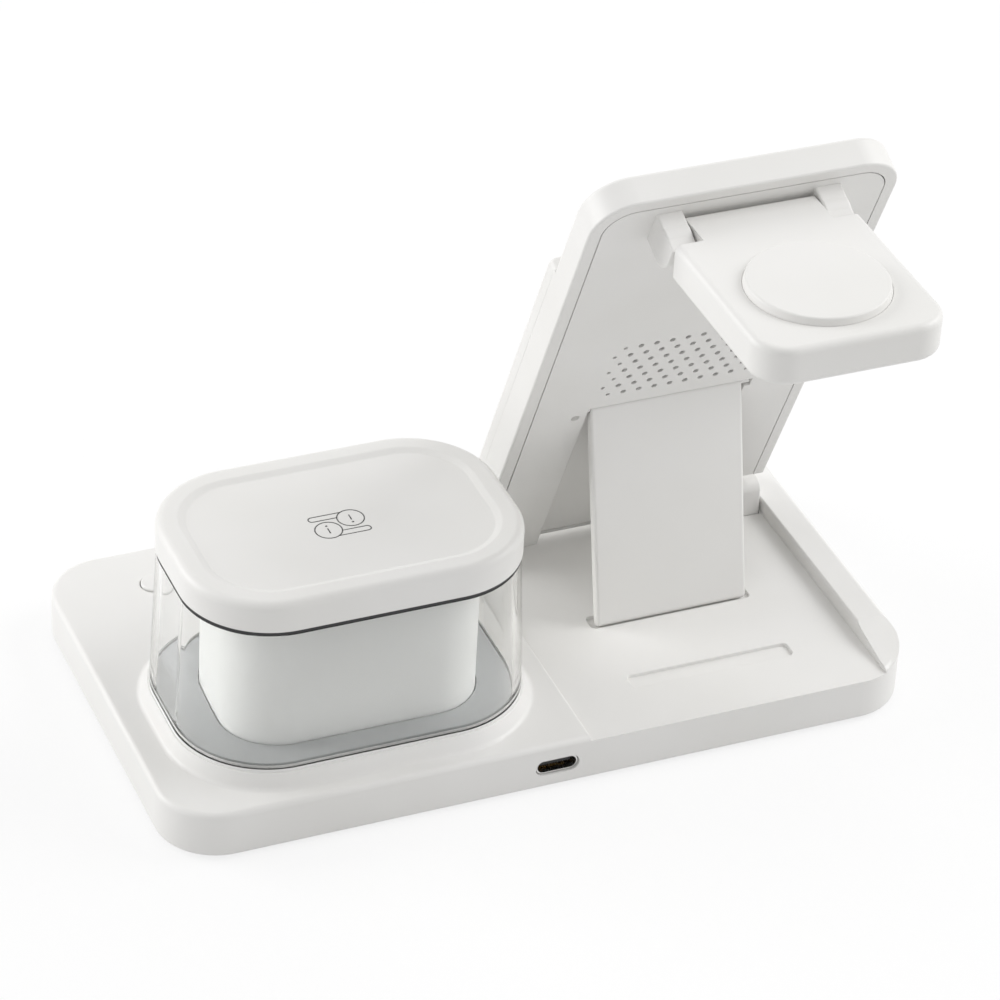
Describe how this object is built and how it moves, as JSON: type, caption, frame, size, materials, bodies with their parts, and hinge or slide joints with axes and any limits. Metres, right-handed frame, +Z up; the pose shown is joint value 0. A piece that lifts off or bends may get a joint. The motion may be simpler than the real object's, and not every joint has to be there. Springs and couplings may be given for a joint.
{
  "type": "wireless charging station",
  "caption": "Desk wireless charging station: long base, leaning phone panel on a prop strut, fold-down watch plate, and a clear-walled night light whose lid charges earbuds.",
  "frame": {"origin": "middle of the rubber pad's underside, on the surface the charger stands on", "axes": "+Z up, +X along the base from the phone stand to the night light, +Y towards the charge port"},
  "size_m": [0.16, 0.1225, 0.1265],
  "materials": {
    "white_abs": "fine moulded satin",
    "white_diffuser": "translucent satin",
    "clear_acrylic": "clear polished",
    "grey_plastic": "satin",
    "black_seal": "matte",
    "pad_rubber": "matte",
    "steel": "bright",
    "black_plastic": "matte",
    "circuit_board": "solder mask",
    "led_resin": "clear resin",
    "coil_copper": "enamelled wire",
    "ferrite": "sintered"
  },
  "bodies": {
    "base": {"base_top_cover": "white_abs", "base_bottom_cover": "white_abs", "lamp_lid": "white_abs", "lid_plate": "white_abs", "hinge_bracket_right": "white_abs", "hinge_bracket_left": "white_abs", "lamp_core": "white_diffuser", "lamp_shell": "clear_acrylic", "lamp_floor_ring": "grey_plastic", "lid_seal": "black_seal", "anti_slip_pad": "pad_rubber", "base_screws": "steel", "bracket_screws": "steel", "hinge_pins": "steel", "port_shell": "steel", "port_tongue": "black_plastic", "button_switch": "black_plastic", "board_components": "black_plastic", "main_board": "circuit_board", "button_board": "circuit_board", "led_board": "circuit_board", "led_chips": "led_resin", "earbud_coil": "coil_copper", "earbud_ferrite": "ferrite"},
    "panel": {"panel_front_shell": "white_abs", "panel_back_cover": "white_abs", "phone_pad": "white_abs", "phone_ferrite": "ferrite", "phone_coil": "coil_copper", "panel_board": "circuit_board", "strut_pin": "steel", "watch_pin": "steel"},
    "strut": {"strut_plate": "white_abs"},
    "watch_arm": {"watch_top_cover": "white_abs", "watch_bottom_cover": "white_abs", "watch_puck": "white_abs", "watch_ferrite": "ferrite", "watch_coil": "coil_copper"},
    "button": {"button_cap": "white_abs"}
  },
  "joints": [
    {"name": "panel_tilt", "type": "hinge", "parent": "base", "child": "panel", "pos_m": [-0.04, -0.0226, 0.0145], "axis": [1, 0, 0], "range_deg": [0, 24]},
    {"name": "strut_fold", "type": "hinge", "parent": "panel", "child": "strut", "pos_m": [-0.04, -0.00103, 0.05688], "axis": [-1, 0, 0], "range_deg": [0, 36.6]},
    {"name": "watch_fold", "type": "hinge", "parent": "panel", "child": "watch_arm", "pos_m": [-0.04, 0.03098, 0.1142], "axis": [-1, 0, 0], "range_deg": [0, 113]},
    {"name": "button_press", "type": "slide", "parent": "base", "child": "button", "axis": [0, 0, -1], "range_m": [0, 0.0004], "stiffness_N_per_m": 800}
  ],
  "couplings": [
    {"joint": "strut_fold", "follows": "panel_tilt", "ratio": 1.5}
  ]
}
